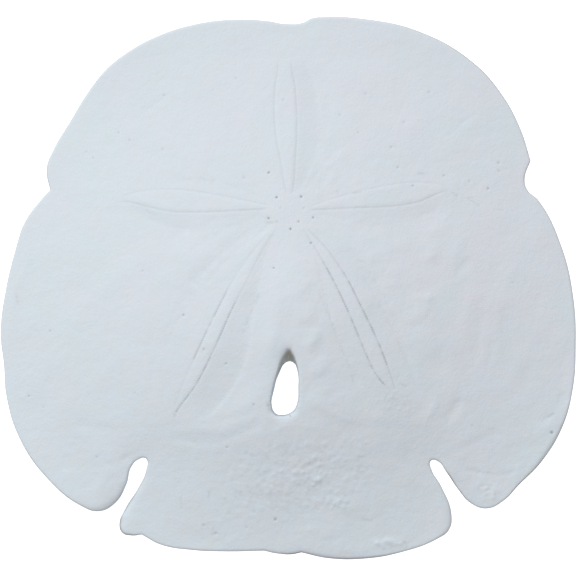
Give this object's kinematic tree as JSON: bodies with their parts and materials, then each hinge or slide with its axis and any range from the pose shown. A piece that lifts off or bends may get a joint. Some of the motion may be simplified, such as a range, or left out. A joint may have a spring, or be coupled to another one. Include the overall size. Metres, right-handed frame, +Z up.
{
  "type": "sand dollar shell",
  "caption": "Bare white sand dollar shell: a low disc with a petal pattern on top, a keyhole slot behind the middle and two deep rear notches.",
  "frame": {"origin": "centre of the overall box, on the flat mouth side that it rests on", "axes": "+Z up through the petal side, +Y towards the front petal, +X to the right seen from above the petals"},
  "size_m": [0.12, 0.1132, 0.013],
  "materials": {
    "shell": "bleached chalky white, matt, with a faint cool tint"
  },
  "bodies": {
    "root": {"sand_dollar": "shell"}
  },
  "joints": []
}
